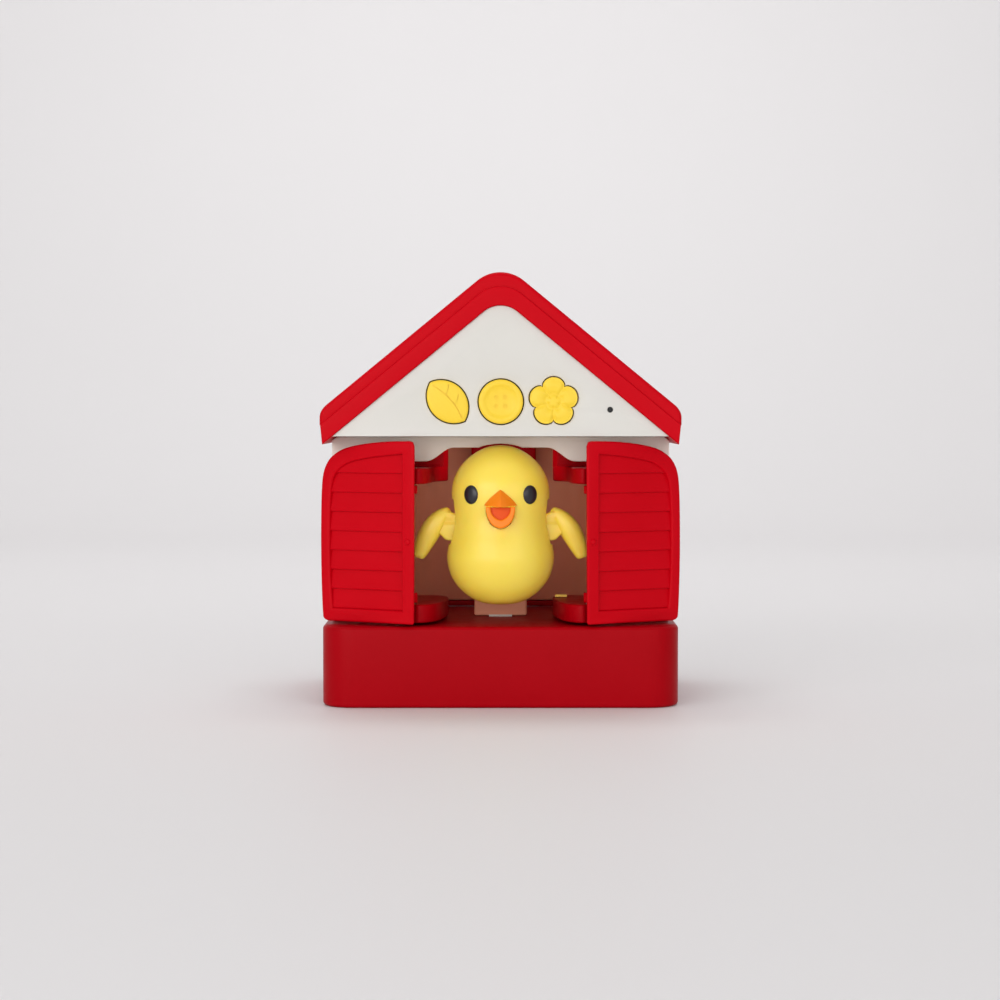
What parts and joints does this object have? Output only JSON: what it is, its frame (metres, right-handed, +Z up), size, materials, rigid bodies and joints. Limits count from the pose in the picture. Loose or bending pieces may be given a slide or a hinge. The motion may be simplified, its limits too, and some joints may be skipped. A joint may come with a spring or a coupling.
{
  "type": "toy house with pop-out chick",
  "caption": "Toy house with a gable roof, three push buttons and two louvred shutters that swing out as a chick slides forward.",
  "frame": {"origin": "centre of the base's underside", "axes": "+Z up, front (doors and buttons) towards -Y, +X to the viewer's right"},
  "size_m": [0.1322, 0.1057, 0.1574],
  "materials": {
    "red_abs": "smooth moulded ABS, satin gloss",
    "white_abs": "smooth moulded ABS, warm white",
    "chick_yellow": "soft satin moulded shell",
    "button_yellow": "moulded key caps",
    "beak_orange": "moulded beak",
    "mouth_red": "moulded tongue",
    "eye_black": "polished bead",
    "grey_abs": "moulded grey plastic",
    "nylon": "natural acetal",
    "board": "solder-masked board",
    "steel": "bright steel",
    "brass": "bright brass",
    "cell_jacket": "printed sleeve, plain"
  },
  "bodies": {
    "house": {"base_housing": "red_abs", "base_pan": "red_abs", "battery_cover": "red_abs", "battery_cover_screw": "steel", "battery_cell_1": "cell_jacket", "battery_cell_2": "cell_jacket", "battery_link_plate": "steel", "base_screw_1": "steel", "base_screw_2": "steel", "base_screw_3": "steel", "base_screw_4": "steel", "roof_cap": "red_abs", "roof_trim": "red_abs", "front_wall": "white_abs", "house_shell": "white_abs", "niche_liner": "white_abs", "rear_kerb": "red_abs", "ceiling_bracket": "red_abs", "gable_panel": "white_abs", "leaf_switch": "grey_abs", "disc_switch": "grey_abs", "flower_switch": "grey_abs", "control_board": "board", "microphone": "steel", "speaker": "grey_abs", "drive_motor": "steel", "gear_frame": "grey_abs", "left_upper_pivot": "steel", "right_upper_pivot": "steel"},
    "power_switch": {"power_switch": "eye_black"},
    "leaf_button": {"leaf_button": "button_yellow"},
    "disc_button": {"disc_button": "button_yellow"},
    "flower_button": {"flower_button": "button_yellow"},
    "chick_carriage": {"carriage": "nylon", "chick_post": "white_abs", "chick_neck": "chick_yellow", "chick_frame": "grey_abs", "chick_front_shell": "chick_yellow", "chick_back_shell": "chick_yellow", "left_eye": "eye_black", "right_eye": "eye_black", "upper_beak": "beak_orange", "left_wing_pin": "steel", "right_wing_pin": "steel"},
    "lower_beak": {"lower_beak": "beak_orange", "beak_tongue": "mouth_red"},
    "left_wing": {"left_wing": "chick_yellow"},
    "right_wing": {"right_wing": "chick_yellow"},
    "output_gear": {"output_gear": "nylon"},
    "middle_gear": {"middle_gear": "nylon"},
    "motor_pinion": {"motor_pinion": "brass"},
    "left_door_arm": {"left_door_arm": "red_abs", "left_arm_crank": "steel", "left_hinge_pin": "steel"},
    "right_door_arm": {"right_door_arm": "red_abs", "right_arm_crank": "steel", "right_hinge_pin": "steel", "door_contact": "brass"},
    "left_shutter": {"left_shutter": "red_abs"},
    "right_shutter": {"right_shutter": "red_abs"}
  },
  "joints": [
    {"name": "chick_slide", "type": "slide", "parent": "house", "child": "chick_carriage", "axis": [0, 1, 0], "range_m": [0, 0.036]},
    {"name": "output_gear_spin", "type": "hinge", "parent": "house", "child": "output_gear", "pos_m": [0.018, -0.002, 0.015], "axis": [0, 0, 1], "range_deg": [-345, 1]},
    {"name": "middle_gear_spin", "type": "hinge", "parent": "house", "child": "middle_gear", "pos_m": [0.0348, -0.002, 0.011], "axis": [0, 0, 1], "range_deg": [-1, 861]},
    {"name": "motor_pinion_spin", "type": "hinge", "parent": "house", "child": "motor_pinion", "pos_m": [0.0496, -0.002, 0.009], "axis": [0, 0, 1], "range_deg": [-1792, 1]},
    {"name": "left_arm_swing", "type": "hinge", "parent": "house", "child": "left_door_arm", "pos_m": [-0.0295, -0.0065, 0.05], "axis": [0, 0, 1], "range_deg": [-0.1, 47.3]},
    {"name": "right_arm_swing", "type": "hinge", "parent": "house", "child": "right_door_arm", "pos_m": [0.0295, -0.0065, 0.05], "axis": [0, 0, 1], "range_deg": [-47.3, 0.1]},
    {"name": "left_shutter_turn", "type": "hinge", "parent": "left_door_arm", "child": "left_shutter", "pos_m": [-0.0322, -0.0406, 0.06], "axis": [0, 0, 1], "range_deg": [-19.2, 0.1]},
    {"name": "right_shutter_turn", "type": "hinge", "parent": "right_door_arm", "child": "right_shutter", "pos_m": [0.0322, -0.0406, 0.06], "axis": [0, 0, 1], "range_deg": [-0.1, 19.2]},
    {"name": "left_wing_flap", "type": "hinge", "parent": "chick_carriage", "child": "left_wing", "pos_m": [-0.0156, -0.0345, 0.065], "axis": [0, 1, 0], "range_deg": [-12, 20]},
    {"name": "right_wing_flap", "type": "hinge", "parent": "chick_carriage", "child": "right_wing", "pos_m": [0.0156, -0.0345, 0.065], "axis": [0, 1, 0], "range_deg": [-20.5, 12.5]},
    {"name": "beak_open", "type": "hinge", "parent": "chick_carriage", "child": "lower_beak", "pos_m": [0, -0.0537, 0.0728], "axis": [1, 0, 0], "range_deg": [-26, 0], "stiffness_Nm_per_rad": 0.002},
    {"name": "leaf_press", "type": "slide", "parent": "house", "child": "leaf_button", "axis": [0, 1, 0], "range_m": [0, 0.0012], "stiffness_N_per_m": 400},
    {"name": "disc_press", "type": "slide", "parent": "house", "child": "disc_button", "axis": [0, 1, 0], "range_m": [0, 0.0012], "stiffness_N_per_m": 400},
    {"name": "flower_press", "type": "slide", "parent": "house", "child": "flower_button", "axis": [0, 1, 0], "range_m": [0, 0.0012], "stiffness_N_per_m": 400},
    {"name": "power_slide", "type": "slide", "parent": "house", "child": "power_switch", "axis": [1, 0, 0], "range_m": [0, 0.005]}
  ],
  "couplings": [
    {"joint": "output_gear_spin", "follows": "chick_slide", "rad_per_m": -166.67},
    {"joint": "middle_gear_spin", "follows": "chick_slide", "rad_per_m": 416.67},
    {"joint": "motor_pinion_spin", "follows": "chick_slide", "rad_per_m": -868.06},
    {"joint": "left_arm_swing", "follows": "chick_slide", "rad_per_m": 22.883},
    {"joint": "right_arm_swing", "follows": "chick_slide", "rad_per_m": -22.883},
    {"joint": "left_shutter_turn", "follows": "chick_slide", "rad_per_m": -9.2599},
    {"joint": "right_shutter_turn", "follows": "chick_slide", "rad_per_m": 9.2599},
    {"joint": "right_wing_flap", "follows": "left_wing_flap", "ratio": -1}
  ]
}
